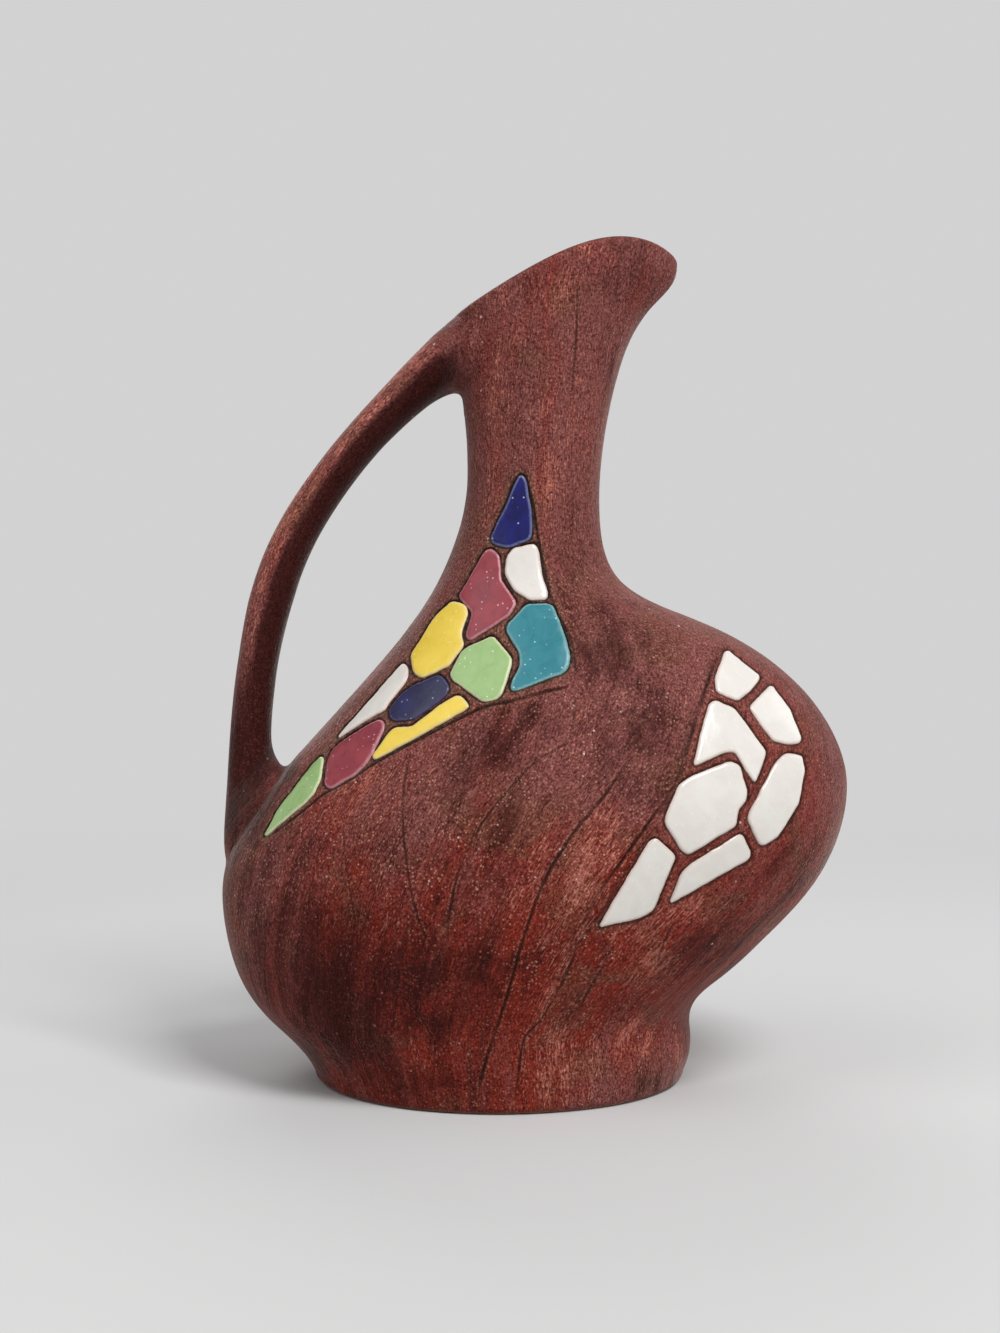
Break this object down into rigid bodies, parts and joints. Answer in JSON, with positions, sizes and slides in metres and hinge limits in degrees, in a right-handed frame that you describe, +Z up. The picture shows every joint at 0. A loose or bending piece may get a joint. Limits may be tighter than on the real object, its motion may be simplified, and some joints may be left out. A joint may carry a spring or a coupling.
{
  "type": "ewer",
  "caption": "Leaning ceramic pitcher with a lopsided body, a loop handle, a long rising lip and panels of coloured glaze fields set in dark lines.",
  "frame": {"origin": "centre of the box in X and Y, on the plane the foot stands on", "axes": "+Z up, the decorated front faces -Y, the handle is at -X and the lip rises to +X"},
  "size_m": [0.1853, 0.1118, 0.2479],
  "materials": {
    "brushed_clay": "brushed matt red-brown slip over fired clay",
    "interior_gloss": "glossy brown glaze",
    "cobalt_glaze": "glossy cobalt glaze",
    "navy_glaze": "glossy navy glaze",
    "white_glaze": "glossy white glaze",
    "plum_glaze": "glossy plum glaze",
    "yellow_glaze": "glossy yellow glaze",
    "green_glaze": "glossy green glaze",
    "teal_glaze": "glossy teal glaze"
  },
  "bodies": {
    "root": {"body": "brushed_clay", "handle": "brushed_clay", "interior_glaze": "interior_gloss", "glaze_cobalt_apex": "cobalt_glaze", "glaze_white_neck": "white_glaze", "glaze_plum_upper": "plum_glaze", "glaze_yellow_upper": "yellow_glaze", "glaze_green_middle": "green_glaze", "glaze_teal_corner": "teal_glaze", "glaze_navy_middle": "navy_glaze", "glaze_yellow_strip": "yellow_glaze", "glaze_white_strip": "white_glaze", "glaze_plum_lower": "plum_glaze", "glaze_green_tip": "green_glaze", "glaze_white_top": "white_glaze", "glaze_white_right": "white_glaze", "glaze_white_hook": "white_glaze", "glaze_white_low_right": "white_glaze", "glaze_white_middle": "white_glaze", "glaze_white_tip": "white_glaze", "glaze_white_low": "white_glaze"}
  },
  "joints": []
}
